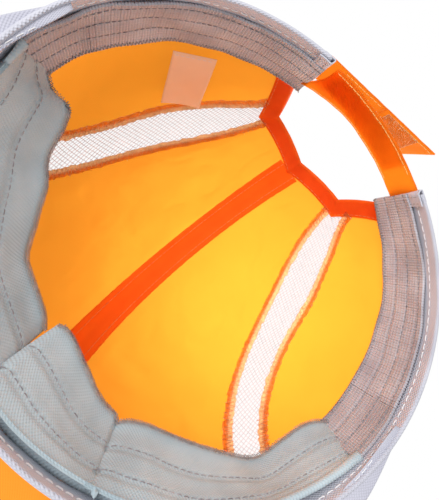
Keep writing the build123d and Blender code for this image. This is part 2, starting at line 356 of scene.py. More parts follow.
def make_weave():
    """Plain weave on the cut's own UV: threads per metre gives the height and a thread tone."""
    group, given, out = effect("plain_weave", [("Threads", 1600.0)], ["Height", "Tone"])
    uv = add(group, "TexCoord").outputs["UV"]
    parts = add(group, "SeparateXYZ", {0: uv})
    waves = []
    for way in range(2):
        turns = maths(group, "MULTIPLY", parts.outputs[way], given.outputs["Threads"])
        waves.append(maths(group, "SINE", maths(group, "MULTIPLY", turns, math.tau / 2)))
    height = maths(group, "MULTIPLY", waves[0], waves[1])
    fleck = add(group, "TexNoise", {"Vector": uv, "Scale": 900.0, "Detail": 2.0})
    group.links.new(height, out.inputs["Height"])
    group.links.new(fleck.outputs["Fac"], out.inputs["Tone"])
    return group


def make_mottle():
    """Uneven dye and handling marks over the whole piece, from 0 to 1."""
    group, given, out = effect("uneven_cloth", [("Size", 40.0), ("Contrast", 1.0)], ["Tone"])
    spot = add(group, "TexCoord").outputs["Object"]
    marks = add(group, "TexNoise", {"Vector": spot, "Scale": given.outputs["Size"], "Detail": 4.0})
    spread = maths(group, "MULTIPLY", maths(group, "SUBTRACT", marks.outputs["Fac"], 0.5),
                   given.outputs["Contrast"])
    tone = add(group, "Clamp", {0: maths(group, "ADD", spread, 0.5)})
    group.links.new(tone.outputs[0], out.inputs["Tone"])
    return group


def make_ribs():
    """Ribs across a woven elastic, and the fine rows of its knitted face, on the cut's own UV; its tone is
    painted shade, darker where they are low.
    """
    group, given, out = effect("elastic_ribs", [("Ribs", 800.0), ("Rows", 500.0)], ["Height", "Tone"])
    uv = add(group, "TexCoord").outputs["UV"]
    parts = add(group, "SeparateXYZ", {0: uv})
    warp = add(group, "TexNoise", {"Vector": uv, "Scale": 60.0, "Detail": 1.0}).outputs["Fac"]
    warp = maths(group, "MULTIPLY", warp, 0.15)
    turns = maths(group, "MULTIPLY", parts.outputs[1], given.outputs["Ribs"])
    rib = maths(group, "COSINE", maths(group, "MULTIPLY", maths(group, "ADD", turns, warp), math.tau))
    rows = maths(group, "MULTIPLY", parts.outputs[0], given.outputs["Rows"])
    row = maths(group, "SINE", maths(group, "MULTIPLY", rows, math.tau))
    both = maths(group, "ADD", rib, maths(group, "MULTIPLY", row, 0.3))
    # painted shade: the tone follows the height, darker in the grooves between ribs and rows
    tone = add(group, "MapRange", {0: both, 1: -1.35, 2: 1.35, 3: 0.0, 4: 1.0})
    group.links.new(both, out.inputs["Height"])
    group.links.new(tone.outputs[0], out.inputs["Tone"])
    return group


WEAVE, MOTTLE, RIBS = make_weave(), make_mottle(), make_ribs()


def group_node(tree, group, **values):
    made = tree.nodes.new("ShaderNodeGroup")
    made.node_tree = group
    for key, value in values.items():
        made.inputs[key].default_value = value
    return made


def fabric(name, colour, dark=None, rough=0.85, threads_per_m=1600.0, relief=0.15 * MM, sheen=0.2,
           ribs=None, mottle=40.0, contrast=2.0, sheer=None, through=0.5, shine=0.3, flat=0.8):
    """Cloth finish: woven or ribbed relief and uneven colour, painted shade in the grooves of ribbed
    cloth, and light through it if it is sheer.
    """
    look = bpy.data.materials.new(name)
    look.use_nodes = True
    tree = look.node_tree
    tree.nodes.clear()
    dark = dark or [c * 0.8 for c in colour[:3]] + [1]
    tone = group_node(tree, MOTTLE, Size=mottle, Contrast=contrast).outputs["Tone"]
    if ribs:
        grain = group_node(tree, RIBS, Ribs=ribs[0], Rows=ribs[1])
    else:
        grain = group_node(tree, WEAVE, Threads=threads_per_m)
    base = blended(tree, tone, dark, colour)
    # darker colour mixed in by the grain's tone: random flecks on woven cloth, painted shade in the
    # grooves of ribbed cloth
    deep = [c * 0.66 for c in colour[:3]] + [1]
    groove_shade_and_fleck = maths(tree, "SUBTRACT", 1.0, grain.outputs["Tone"])
    base = blended(tree, maths(tree, "MULTIPLY", groove_shade_and_fleck, 1 - flat), base, deep)
    bump = add(tree, "Bump", {"Height": grain.outputs["Height"], "Distance": relief, "Strength": 0.6})
    body = add(tree, "BsdfPrincipled", {
        "Base Color": base,
        "Roughness": maths(tree, "ADD", maths(tree, "MULTIPLY", tone, -0.12), rough + 0.06),
        "Sheen Weight": sheen,
        "Sheen Roughness": 0.5,
        "Specular IOR Level": shine,
        "Normal": bump.outputs[0],
    })
    surface = body.outputs[0]
    if sheer:
        thin = [c * 0.86 for c in sheer[:3]] + [1]
        glow = add(tree, "BsdfTranslucent", {"Color": blended(tree, tone, thin, sheer),
                                             "Normal": bump.outputs[0]})
        surface = add(tree, "MixShader", {0: through, 1: surface, 2: glow.outputs[0]}).outputs[0]
    add(tree, "OutputMaterial", {"Surface": surface})
    return look


ORANGE = ink(255, 164, 40)
GLOW = ink(255, 209, 118)
crown_look = fabric("crown_cloth", ORANGE, ink(254, 164, 8), 0.8, 2600, 0.05 * MM, 0.0, sheer=GLOW,
                    through=0.74, mottle=14, contrast=1.2, flat=0.97)
tape_look = fabric("seam_tape_cloth", ink(255, 118, 34), ink(255, 106, 24), 0.75, 2200, 0.06 * MM, 0.0,
                   sheer=ink(255, 196, 90), through=0.6, mottle=60, contrast=1.4, flat=0.95)
binding_look = fabric("binding_cloth", ink(255, 112, 34), ink(255, 94, 22), 0.7, 2200, 0.1 * MM, 0.0,
                      sheer=ink(255, 190, 84), through=0.55, mottle=90, contrast=2.0, flat=0.95)
mesh_look = fabric("vent_net", ink(236, 226, 226), ink(216, 204, 206), 0.6, 3000, 0.03 * MM, 0.0,
                   sheer=ink(252, 240, 238), through=0.5, mottle=300, contrast=2.0, flat=0.98)
overlock_cloth = fabric("overlocked_edge", ink(255, 190, 140), ink(255, 160, 104), 0.8, 1800, 0.1 * MM,
                        0.0, sheer=ink(255, 222, 184), through=0.96, mottle=260, contrast=3.0, flat=0.98)
overlock_thread = fabric("overlock_thread", ink(255, 184, 130), ink(255, 150, 84), 0.55, 4000,
                         0.05 * MM, 0.0, sheer=ink(255, 200, 150), through=0.96, mottle=420,
                         contrast=3.0, flat=0.98)
pale_thread = fabric("overlock_pale_thread", ink(255, 250, 240), ink(255, 236, 214), 0.55, 4000,
                     0.05 * MM, 0.0, sheer=ink(255, 250, 236), through=0.96, mottle=420, contrast=3.0,
                     flat=0.98)
tape_thread = fabric("tape_thread", ink(255, 206, 140), ink(255, 170, 100), 0.5, 4000, 0.05 * MM, 0.0,
                     sheer=ink(255, 216, 150), through=0.6, mottle=500, contrast=3.0, flat=0.98)
rim_look = fabric("rim_tape", ink(204, 204, 214), ink(184, 184, 196), 0.7, 1300, 0.25 * MM, 0.2,
                  mottle=55, contrast=2.4)
band_look = fabric("sweatband_knit", ink(188, 202, 208), ink(162, 178, 186), 0.9, 1500, 0.15 * MM, 0.1,
                   mottle=45, contrast=2.4, flat=0.9)
# strong painted shade in the rib grooves here, as flat is low
elastic_look = fabric("ribbed_elastic", ink(216, 216, 224), ink(178, 172, 180), 0.88, ribs=(800, 520),
                      relief=0.34 * MM, sheen=0.0, mottle=60, contrast=2.4, flat=0.1,
                      sheer=ink(240, 196, 170), through=0.15)
grey_thread = fabric("grey_thread", ink(176, 172, 176), ink(120, 112, 116), 0.6, 4000, 0.05 * MM, 0.3,
                     mottle=400, contrast=3.0)
white_thread = fabric("white_thread", ink(252, 252, 254), ink(238, 238, 242), 0.5, 4000, 0.05 * MM,
                      0.2, mottle=400, contrast=2.0)
strap_look = fabric("strap_webbing", ink(255, 142, 34), ink(255, 124, 22), 0.4, 1500, 0.05 * MM, 0.0,
                    sheer=ink(255, 184, 92), through=0.9, mottle=40, contrast=2.0, shine=0.5, flat=0.97)
edge_thread = fabric("strap_edge_thread", ink(255, 216, 140), ink(250, 186, 96), 0.5, 4000, 0.05 * MM,
                     0.2, mottle=300, contrast=2.0)
pile_look = fabric("hook_and_loop", ink(255, 226, 184), ink(255, 208, 158), 0.7, 1200, 0.2 * MM, 0.3,
                   sheer=ink(255, 244, 222), through=0.96, mottle=260, contrast=3.0, flat=0.97)
peak_look = fabric("peak_cloth", ink(255, 150, 38), ink(252, 138, 28), 0.8, 2400, 0.05 * MM, 0.0,
                   mottle=24, contrast=1.6, flat=0.96)
facing_look = fabric("edge_facing", ink(196, 196, 208), ink(176, 176, 190), 0.7, 1400, 0.2 * MM, 0.2,
                     mottle=50, contrast=2.0)
label_look = fabric("label_satin", ink(255, 238, 222), ink(255, 228, 208), 0.4, 3200, 0.04 * MM, 0.0,
                    sheer=ink(255, 240, 214), through=0.5, mottle=60, contrast=1.4, shine=0.4, flat=0.97)
board_look = fabric("peak_board", ink(225, 226, 228), ink(205, 206, 210), 0.5, 900, 0.1 * MM, 0.0,
                    mottle=40, contrast=1.5)

# ---------------------------------------------------------------- crown cloth
upper, lower = seam_line(UPPER_SEAM), seam_line(LOWER_SEAM)
crest = even([on_crown(Vector((0, math.cos(a), math.sin(a))) * 0.09 + HEART)
              for a in [math.radians(d) for d in range(26, 181, 2)]]
             + [wall(-90, z * MM) for z in range(30, 0, -2)])


def turn_of(point):
    return math.degrees(math.atan2(point.y / OVAL, point.x))


def arch_between(start, end):
    """Line round the arch's edge on the back of the crown between two points of its outline."""
    inner = [Vector((x * MM, 0, z * MM)) for x, z in ARCH if z > 12]
    stops = [start] + [p for p in inner if p.x > start.x + MM and p.z > end.z and p.x < end.x + MM] + [end]
    line = []
    for a, b in zip(stops, stops[1:]):
        line += [a.lerp(b, k / 12) for k in range(12)]
    return even([behind(p.x, p.z) for p in line + [stops[-1]]], 60)


apex = behind(0, 70.5 * MM)
crest = even([apex] + [p for p in crest if p.z > apex.z + MM or p.y < 0])
crest_to_seam = arch_between(apex, upper[0])
side_foot = behind(38.5 * MM, 0.8 * MM)
leg_top = Vector((38.5 * MM, 0, 34 * MM))
seam_to_foot = even([behind(p.x, p.z) for p in
                     [lower[0].lerp(leg_top, k / 10) for k in range(10)]
                     + [leg_top.lerp(side_foot, k / 20) for k in range(21)]], 60)


def rim_between(first, last):
    """Hem line from one turn to another."""
    return lambda t: wall(first + (last - first) * t, 0.8 * MM)


def panel_place(near, far, start, end, depth, side, swell, seed):
    """Place function of a crown panel that lies on the crown with soft wrinkles."""
    flat = patch(near, far, start, end)

    def place(u, w):
        point = on_crown(flat(u, w), depth)
        under_hem = max(0.0, (point.z - 11 * MM) / (10 * MM))
        ease = min(1.0, under_hem, 6 * min(u, 1 - u, w, 1 - w))
        rise = ripple(point, 34 * MM, swell, seed) + ripple(point, 12 * MM, 0.5 * swell, seed + 5)
        crease = math.exp(-((ripple(point, 26 * MM, 1.0, seed + 9) / 0.035) ** 2)) * 0.35 * swell
        point = dented(point, -ease * (0.4 * MM + max(0.0, 0.6 * swell + rise) - crease))
        return Vector((point.x * side, point.y, point.z))

    return place


for label, side in SIDES:
    top = panel_place(
        lambda t: along(crest, t), lambda t: along(upper, t), lambda t: along(crest_to_seam, t),
        rim_between(-90, turn_of(upper[-1])), 0, side, 1.1 * MM, 3 + side)
    cloth(f"crown_panel_cloth_{label}", top, (48, 96), (0.125, 0.235), 0.6 * MM, crown_look,
          stands_for=[f"crown_panel_{label}"])
    low = panel_place(
        lambda t: along(lower, t),
        rim_between(turn_of(side_foot), turn_of(lower[-1])),
        lambda t: along(seam_to_foot, t), lambda t: lower[-1], 0, side, 0.8 * MM, 9 + side)
    cloth(f"side_panel_cloth_{label}", low, (36, 90), (0.075, 0.165), 0.6 * MM, crown_look,
          stands_for=[f"side_panel_{label}"])

# ---------------------------------------------------------------- open mesh vents
NET_PITCH = 1.9 * MM


def net(label, side):
    """Open net between the two seams of one side: a slanted grid, trimmed and cut to its threads."""
    run = 0.5 * (length(upper) + length(lower))
    made = bmesh.new()
    count = int(run * 1.5 / NET_PITCH)
    bmesh.ops.create_grid(made, x_segments=count, y_segments=count, size=count * NET_PITCH / 2)
    bmesh.ops.rotate(made, verts=made.verts, matrix=Matrix.Rotation(math.pi / 4, 3, "Z"))
    bmesh.ops.scale(made, verts=made.verts, vec=(0.9, 1.12, 1))

    def share(spot):
        t = 0.5 + spot.y / run
        width = max(0.5 * MM, (along(upper, t) - along(lower, t)).length)
        return t, 0.5 + spot.x / width, width

    waste = []
    for face in made.faces:
        t, u, width = share(face.calc_center_median())
        if not 0 < t < 0.995 or not -0.6 * MM < u * width < width + 0.6 * MM:
            waste.append(face)
    bmesh.ops.delete(made, geom=waste, context="FACES")
    for spot in made.verts:
        t, u, width = share(spot.co)
        flat = along(upper, t).lerp(along(lower, t), min(max(u, -0.05), 1.05))
        point = on_crown(flat, CLOTH / 2)
        billow = math.sin(math.pi * min(1, max(0, u)))
        point = dented(point, -billow * (0.9 * MM + ripple(point, 20 * MM, 0.6 * MM, side)))
        spot.co = Vector((point.x * side, point.y, point.z))
    made.normal_update()
    if sum(f.normal.dot(f.calc_center_median() - HEART) for f in made.faces) < 0:
        bmesh.ops.reverse_faces(made, faces=made.faces)
    bmesh.ops.wireframe(made, faces=made.faces, thickness=0.34 * MM, use_replace=True,
                        use_boundary=True, use_even_offset=True)
    finished(mesh_of(f"vent_net_{label}", made), mesh_look, "cap", [f"mesh_strip_{label}"])


for label, side in SIDES:
    net(label, side)

# ---------------------------------------------------------------- overlocked seams
BACKING = CLOTH + TAPE


def strip_place(line, half_width, depth, side=1, fray=0.0, swell=0.0, seed=0.0):
    """Place function of a strip laid along a line on the crown's inner face."""

    def place(u, w):
        here, ahead = along(line, w), along(line, min(1, w + 0.01))
        if w > 0.98:
            here, ahead = along(line, w - 0.01), here
        across = (ahead - here).cross(here - HEART).normalized()
        out = (2 * u - 1) * (half_width + ripple(here, 2.2 * MM, fray, seed + round(u)))
        point = on_crown(along(line, w) + across * out, depth)
        point = dented(point, ripple(point, 9 * MM, swell, seed))
        return Vector((point.x * side, point.y, point.z))

    return place


def past_arch(line, reach):
    """The line from where it is clear of the arch's edge by reach."""
    return even([p for p in line if outside_arch(p) > reach])


for label, side in SIDES:
    for level, seam in (("upper", upper), ("lower", lower)):
        line = past_arch([p for p in seam if p.z > 9 * MM], BINDING_WIDTH - 0.8 * MM)
        name = f"seam_band_{label}_{level}"
        inner = mirrored([on_crown(p, BACKING + 0.15 * MM) for p in line], side)
        half = SEAM_WIDTH / 2
        pale = threads(f"overlock_pale_{label}_{level}",
                       [zigzag(inner, half * 0.9, 1.5 * MM, loose=0.6)], 0.17 * MM, pale_thread, sides=4)
        deep = threads(f"overlock_deep_{label}_{level}",
                       [zigzag(inner, half, 1.3 * MM, phase=1, loose=0.4)], 0.15 * MM, overlock_thread,
                       sides=4)
        cloth(f"overlock_cloth_{label}_{level}", strip_place(line, half, CLOTH, side, 0.9 * MM),
              (6, 200), (SEAM_WIDTH, length(line)), TAPE, overlock_cloth, stands_for=[name])

# ---------------------------------------------------------------- centre seam tape
tape_line = [p for p in past_arch(crest, BINDING_WIDTH - 1.2 * MM) if p.z > 9 * MM]
tape_line = even([on_crown(p) for p in tape_line])
rows = []
for shift in (-0.62, 0.62):
    row = [on_crown(p + Vector((shift * TAPE_WIDTH / 2, 0, 0)), BACKING + 0.2 * MM) for p in tape_line]
    rows += stitch_runs(row, 2.4 * MM, 0.7 * MM)
tape_rows = threads("centre_tape_stitches", rows, 0.2 * MM, tape_thread, sides=4)
cloth("centre_tape", strip_place(tape_line, TAPE_WIDTH / 2, CLOTH, 1, 0.3 * MM, 0.08 * MM, 4),
      (16, 200), (TAPE_WIDTH, length(tape_line)), TAPE, tape_look, stands_for=["centre_seam_tape"])

# ---------------------------------------------------------------- binding round the back arch


def arch_offsets():
    """Corners of the arch's outline and the way each moves as the outline grows."""
    corners = [Vector(c) * MM for c in ARCH]
    ways = []
    for i, corner in enumerate(corners):
        before = (corner - corners[i - 1]).normalized() if i else None
        after = (corners[i + 1] - corner).normalized() if i < len(corners) - 1 else None
        sides = [Vector((-d.y, d.x)) for d in (before, after) if d is not None]
        mitre = sum(sides, Vector((0, 0))).normalized()
        ways.append(mitre / mitre.dot(sides[0]))
    return corners, ways


ARCH_CORNERS, ARCH_WAYS = arch_offsets()
ARCH_RUNS = [0.0]
for a, b in zip(ARCH_CORNERS, ARCH_CORNERS[1:]):
    ARCH_RUNS.append(ARCH_RUNS[-1] + (b - a).length)


def arch_place(w, growth, depth):
    """Point at share w round the arch, growth outside its outline and depth inside the crown's face."""
    want = w * ARCH_RUNS[-1]
    i = max(k for k in range(len(ARCH_RUNS) - 1) if ARCH_RUNS[k] <= want + 1e-9)
    share = (want - ARCH_RUNS[i]) / (ARCH_RUNS[i + 1] - ARCH_RUNS[i])
    flat = (ARCH_CORNERS[i] + ARCH_WAYS[i] * growth).lerp(
        ARCH_CORNERS[i + 1] + ARCH_WAYS[i + 1] * growth, share)
    return behind(flat.x, max(flat.y, 0.6 * MM), depth)


def binding_place(u, w):
    """Folded tape: down the outer face, round the arch's edge and back along the inner face."""
    if u < 0.42:
        growth, depth = BINDING_WIDTH * (1 - u / 0.42), -0.5 * MM
    elif u > 0.58:
        growth, depth = BINDING_WIDTH * (u - 0.58) / 0.42, BACKING + 0.1 * MM
    else:
        swing = (u - 0.42) / 0.16 * math.pi
        growth = -0.6 * MM * math.sin(swing)
        depth = 0.45 * MM - 0.95 * MM * math.cos(swing)
    point = arch_place(w, growth, depth)
    pucker = ripple(Vector((w * 0.2, u * 0.01, 0)), 4 * MM, 0.28 * MM, 2)
    for corner in ARCH_RUNS[1:-1]:
        near = (w * ARCH_RUNS[-1] - corner) / (1.6 * MM)
        pucker += 0.5 * MM * math.exp(-near * near) * (1 if u > 0.5 else 0.3)
    return dented(point, pucker if u > 0.5 else -0.5 * pucker)


def arch_row(growth, depth):
    return even([arch_place(k / 300, growth, depth) for k in range(301)], 300)


binding_rows = threads(
    "binding_stitches",
    stitch_runs(arch_row(BINDING_WIDTH - 1.3 * MM, BACKING + 0.35 * MM), 2.1 * MM, 0.8 * MM),
    0.18 * MM, tape_thread, sides=4)
cloth("arch_binding_tape", binding_place, (26, 260), (2 * BINDING_WIDTH + 3 * MM, ARCH_RUNS[-1]),
      0.5 * MM, binding_look, stands_for=["arch_binding"])

# ---------------------------------------------------------------- hem tape round the rim
HEM_START = turn_of(behind(36 * MM, 6 * MM))
HEM_END = -180 - HEM_START


def hem_section(u):
    """Depth and height round the folded hem, from its outer edge under the rim to its inner edge."""
    if u < 0.42:
        return HEM_OUT, HEM_Z * (1 - u / 0.42) + 0.9 * MM * u / 0.42
    if u > 0.58:
        return HEM_IN, 0.9 * MM + (HEM_Z - 0.9 * MM) * (u - 0.58) / 0.42
    swing = (u - 0.42) / 0.16 * math.pi
    middle, half = (HEM_OUT + HEM_IN) / 2, (HEM_IN - HEM_OUT) / 2
    return middle - half * math.cos(swing), 0.9 * MM * (1 - math.sin(swing))


def hem_place(u, w):
    depth, z = hem_section(u)
    point = wall(HEM_START + (HEM_END - HEM_START) * w, z, depth)
    return dented(point, ripple(point, 12 * MM, 0.35 * MM, 6) if u > 0.5 else 0)


def hem_line(z, depth):
    return even([wall(HEM_START + (HEM_END - HEM_START) * k / 400, z, depth) for k in range(401)], 500)


hem_rows = threads("hem_stitches", stitch_runs(hem_line(5.4 * MM, HEM_IN + 0.2 * MM), 2.6 * MM, 1.2 * MM)
                   + stitch_runs(hem_line(9.5 * MM, HEM_OUT - 0.1 * MM), 2.6 * MM, 1.2 * MM),
                   0.28 * MM, white_thread, sides=4)
cloth("rim_hem_tape", hem_place, (22, 420), (2 * HEM_Z + 2 * MM, 0.485), 0.45 * MM, rim_look,
      stands_for=["rim_band"])

# ---------------------------------------------------------------- ribbed elastic along the sides
RIB_PITCH = 1.25 * MM
elastic_back = turn_of(behind(34.8 * MM, 20 * MM))
elastic_front = -8.5
ELASTIC_LENGTH = length(even([wall(elastic_back + (elastic_front - elastic_back) * k / 60, 20 * MM)
                              for k in range(61)]))


ELASTIC_ROWS = (0.12, 0.4, 0.68)  # shares of the height where it is stitched
ELASTIC_DROP = 7.5 * MM  # how much lower the free edge is at the back


def elastic_place(side):
    def place(u, w):
        z = BAND_FOOT_Z + (BAND_TOP_Z - ELASTIC_DROP * (1 - w) ** 1.4 - BAND_FOOT_Z) * u
        turn = elastic_back + (elastic_front - elastic_back) * w
        point = wall(turn, z, HEM_IN)
        ridge = 0.5 + 0.5 * math.cos(math.tau * w * ELASTIC_LENGTH / RIB_PITCH)
        fade = min(1.0, max(0.0, (0.8 - w) / 0.05))
        sewn = sum(math.exp(-(((u - row) * 32) ** 2) * 1.6) for row in ELASTIC_ROWS)
        inward = 0.26 * MM * fade * ridge - 0.45 * MM * sewn
        inward += ripple(point, 16 * MM, 1.2 * MM, side) + 1.0 * MM * u * u
        point = dented(point, max(inward, -0.2 * MM) + 0.2 * MM, Vector((0, 0, z)))
        return Vector((point.x * side, point.y, point.z))

    return place


def elastic_row(side, u, lift):
    place = elastic_place(side)
    return [dented(place(u, k / 200), BAND + lift, Vector((0, 0, 20 * MM))) for k in range(201)]


for label, side in SIDES:
    sewn = []
    for row in ELASTIC_ROWS:
        sewn += stitch_runs(elastic_row(side, row, 0.3 * MM), 1.7 * MM, 0.8 * MM, 0.15 * MM)
    rows = threads(f"elastic_stitches_{label}", sewn, 0.22 * MM, grey_thread, sides=4)
    edge = [elastic_row(side, 0.955, 0.1 * MM)]
    whip = threads(f"elastic_overlock_{label}",
                   [zigzag(edge[0], 1.2 * MM, 0.8 * MM, Vector((0, 0, 20 * MM)), loose=0.2)],
                   0.26 * MM, grey_thread, sides=4)
    cloth(f"elastic_band_{label}", elastic_place(side), (36, 560),
          (BAND_TOP_Z - BAND_FOOT_Z, ELASTIC_LENGTH), BAND, elastic_look,
          stands_for=[f"sweatband_side_{label}"])

# ---------------------------------------------------------------- soft front sections of the sweatband
FRONT_ROWS = (0.34, 0.64)
FRONT_TOPS = {
    "left": [(98, -6, 38), (92, -9, 39), (84, -8, 40), (79, -14, 40), (72, -26, 40), (62, -34, 40),
             (54, -45, 40), (46, -57, 40), (32, -62, 40), (19, -66, 40)],
    "centre": [(18, -64, 40), (8, -65, 40), (-3, -67, 40), (-14, -69, 40), (-26, -70, 40)],
    "right": [(-25, -71, 40), (-35, -65, 40), (-46, -61, 40), (-65, -54, 40), (-80, -46, 40),
              (-86, -40, 40), (-89, -30, 40), (-93, -17, 40), (-99, -7, 38)],
}
FRONT_FEET = {"left": (-7, -79), "centre": (-77, -107), "right": (-104, -173)}
FRONT_NODES = {"left": "sweatband_front_left", "centre": "sweatband_front",
               "right": "sweatband_front_right"}


def front_place(label):
    """Place function of one front section: its outer face from the foot to the free top edge."""
    top = even(smooth([mm(*p) for p in FRONT_TOPS[label]]))
    first, last = FRONT_FEET[label]
    seed = len(label)

    def place(u, w):
        turn = first + (last - first) * w
        free = min(1.0, (0.4 + math.cos(math.radians(turn + 90))) / 0.8)
        fold = wall(turn, BAND_FOOT_Z - 0.6 * MM, HEM_IN + (0.8 + 2.8 * free) * MM)
        if u < 0.1:
            swing = u / 0.1 * math.pi / 2
            hem = wall(turn, HEM_Z - 0.5 * MM, HEM_IN + 0.1 * MM)
            point = hem.lerp(fold, math.sin(swing))
            point.z = hem.z + (fold.z - hem.z) * (1 - math.cos(swing))
        else:
            point = fold.lerp(along(top, w), (u - 0.1) / 0.9)
        out = Vector((point.x, point.y, 0)).normalized()
        belly = 1.4 * MM * math.sin(math.pi * u) + 0.5 * MM * abs(math.sin(math.pi * (u - 0.04) / 0.3))
        sewn = sum(math.exp(-(((u - row) * 36) ** 2) / 1.4) for row in FRONT_ROWS)
        tuck = math.exp(-((min(w, 1 - w) / 0.03) ** 2))
        point += out * (belly + 1.0 * MM * sewn + 1.6 * MM * tuck * min(1, 4 * u))
        ease = min(1.0, 5 * u)
        sag = ripple(point, 30 * MM, 2.0 * MM, seed) + ripple(point, 10 * MM, 0.4 * MM, seed + 4)
        return point + out * sag * ease

    return place


for label, node in FRONT_NODES.items():
    place = front_place(label)
    centre = Vector((0, 0, 20 * MM))

    def row_of(u, lift):
        return [dented(place(u, k / 160), BAND + lift, centre) for k in range(161)]

    sewn = []
    for row in FRONT_ROWS:
        sewn += stitch_runs(row_of(row, 0.1 * MM), 2.0 * MM, 0.9 * MM, 0.2 * MM, centre)
    rows = threads(f"front_stitches_{label}", sewn, 0.2 * MM, grey_thread, sides=4)
    top_edge = row_of(0.95, 0.1 * MM)
    whip = threads(f"front_overlock_{label}",
                   [zigzag(top_edge, 1.3 * MM, 0.9 * MM, centre, loose=0.2),
                    zigzag(top_edge, 1.1 * MM, 0.9 * MM, centre, phase=1, loose=0.3)],
                   0.24 * MM, grey_thread, sides=4)
    cloth(f"front_band_{label}", place, (34, 150),
          (0.036, length(even([place(0.5, k / 60) for k in range(61)]))), BAND, band_look,
          stands_for=[node])

# ---------------------------------------------------------------- peak
peak_side = [mm(x, y, 0) for x, y in PEAK_EDGE]
half_edge = smooth([*peak_side, mm(-52, -134, 0)], 20)[: 4 * 20 + 1]
peak_outline = even(half_edge + mirrored(half_edge[-2::-1], -1), 300)


def peak_height(x, low):
    return PEAK_RISE * (1 - (x / PEAK_REACH) ** 2) + low


def peak_place(low, inset):
    """Place function of a sheet of the peak, from the rim out to its edge."""

    def place(u, w):
        edge = along(peak_outline, w)
        foot = wall(4 - 188 * w, low, HEM_OUT - 0.2 * MM)
        reach = (edge - foot).length
        share = max(0.0, 1 - inset / max(reach, inset))
        flat = foot.lerp(edge, u * share)
        return Vector((flat.x, flat.y, peak_height(flat.x, low)))

    return place


def facing_place(u, w):
    """Facing: under the peak's edge, round it and just over its top."""
    inward = Vector((0, -0.03, 0)) - along(peak_outline, w)
    inward.z = 0
    inward.normalize()
    edge = along(peak_outline, w)
    if u < 0.6:
        inset, low = 10 * MM * (1 - u / 0.6) + 0.8 * MM, -0.05 * MM
    elif u > 0.8:
        inset, low = 0.8 * MM + 1.0 * MM * (u - 0.8) / 0.2, 2.9 * MM
    else:
        swing = (u - 0.6) / 0.2 * math.pi
        inset, low = 0.8 * MM * (1 - math.sin(swing)), 1.42 * MM - 1.48 * MM * math.cos(swing)
    fade = min(1.0, w * 14, (1 - w) * 14)
    flat = edge + inward * inset * (0.3 + 0.7 * fade)
    return Vector((flat.x, flat.y, max(0.1 * MM, peak_height(flat.x, low))))


above, below = Vector((0, -0.1, 1)), Vector((0, -0.1, -1))
cloth("peak_under_cloth", peak_place(0.25 * MM, 6 * MM), (30, 160), (0.09, 0.44), 0.3 * MM, peak_look,
      stands_for=["peak_under_cover"], back_to=above)
cloth("peak_top_cloth", peak_place(2.75 * MM, 0.8 * MM), (30, 160), (0.09, 0.44), 0.4 * MM, peak_look,
      stands_for=["peak_top_cover"], back_to=below)
row = [facing_place(0.06, 0.03 + 0.94 * k / 400) - Vector((0, 0, 0.15 * MM)) for k in range(401)]
facing_rows = stitch_runs(row, 2.6 * MM, 1.2 * MM, 0.15 * MM, below)
for inset in (16 * MM, 26 * MM, 36 * MM, 46 * MM):
    row = []
    for k in range(301):
        w = 0.12 + 0.76 * k / 300
        top = peak_place(2.75 * MM, inset)(1, w)
        row.append(top + Vector((0, 0, 0.2 * MM)))
    facing_rows += stitch_runs(row, 2.8 * MM, 1.2 * MM, 0.2 * MM, above)
peak_rows = threads("peak_stitches", facing_rows, 0.22 * MM, white_thread, sides=4)
cloth("peak_edge_tape", facing_place, (20, 300), (0.0155, 0.44), 0.35 * MM, facing_look,
      stands_for=["peak_edge_facing"], back_to=above)
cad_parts["peak_board"].data.materials.clear()
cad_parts["peak_board"].data.materials.append(board_look)

# ---------------------------------------------------------------- corner tabs and strap


def tab_place(side):
    """Folded tape that encloses the strap's sewn root at the end of the hem."""

    def place(u, w):
        z = 0.6 * MM + (TAB_HIGH + 0.4 * MM) * w
        pinch = 0.5 * MM * math.sin(math.pi * w)
        if u < 0.42:
            x, depth = TAB_END_X + 1.4 * MM - (5.2 * MM) * u / 0.42, -0.9 * MM
        elif u > 0.58:
            x, depth = TAB_END_X - 3.8 * MM + 5.2 * MM * (u - 0.58) / 0.42, 3.1 * MM
        else:
            swing = (u - 0.42) / 0.16 * math.pi
            x = TAB_END_X - 3.8 * MM - 0.8 * MM * math.sin(swing)
            depth = 1.1 * MM - 2.0 * MM * math.cos(swing)
        point = behind(x + pinch * 0.3, z, depth)
        point = dented(point, ripple(point, 5 * MM, 0.5 * MM, side) if u > 0.5 else 0)
        return Vector((point.x * side, point.y, point.z))

    return place


for label, side in SIDES:
    row = []
    for u in (0.66, 0.9):
        row += stitch_runs([dented(tab_place(side)(u, 0.08 + 0.84 * k / 60), 0.1 * MM)
                            for k in range(61)], 1.6 * MM, 0.7 * MM)
    rows = threads(f"tab_stitches_{label}", row, 0.18 * MM, grey_thread, sides=4)
    cloth(f"corner_tab_tape_{label}", tab_place(side), (30, 30), (0.0155, 0.0204), 0.5 * MM, rim_look,
          stands_for=[f"corner_tab_{label}"])

INNER_REACH = 101.1 * MM
INNER_TOP = [(-36.5, 20), (-8, 20), (12, 20.6), (26, 23.6), (36.5, 26.4)]
inner_top = even(smooth([mm(x, 0, z) for x, z in INNER_TOP]), 120)
strap_back = Vector((0, 0, 10 * MM))


def inner_strap_place(u, w):
    """Inner strap: plumb behind the opening, from its root to its flared pointed tip."""
    top = along(inner_top, w)
    low_x = (-36.5 + 67.0 * w) * MM
    x = low_x + (top.x - low_x) * max(0.0, (u - 0.3) / 0.7) ** 1.6
    z = STRAP_LOW + (top.z - STRAP_LOW) * u
    y = OVAL * math.sqrt(INNER_REACH**2 - x * x)
    slant = x + 0.8 * z
    crease = 0.5 * MM * math.sin(slant / (3.1 * MM)) * noise.noise(Vector((x, z, 0)) / (11 * MM))
    return Vector((x, y - 0.25 * MM - abs(crease) - max(0.0, ripple((x, 0, z), 17 * MM, 0.6 * MM)), z))


def strap_edge(place, u, ends, lift, steps=160):
    return [place(u, ends[0] + (ends[1] - ends[0]) * k / steps) + Vector((0, lift, 0))
            for k in range(steps + 1)]


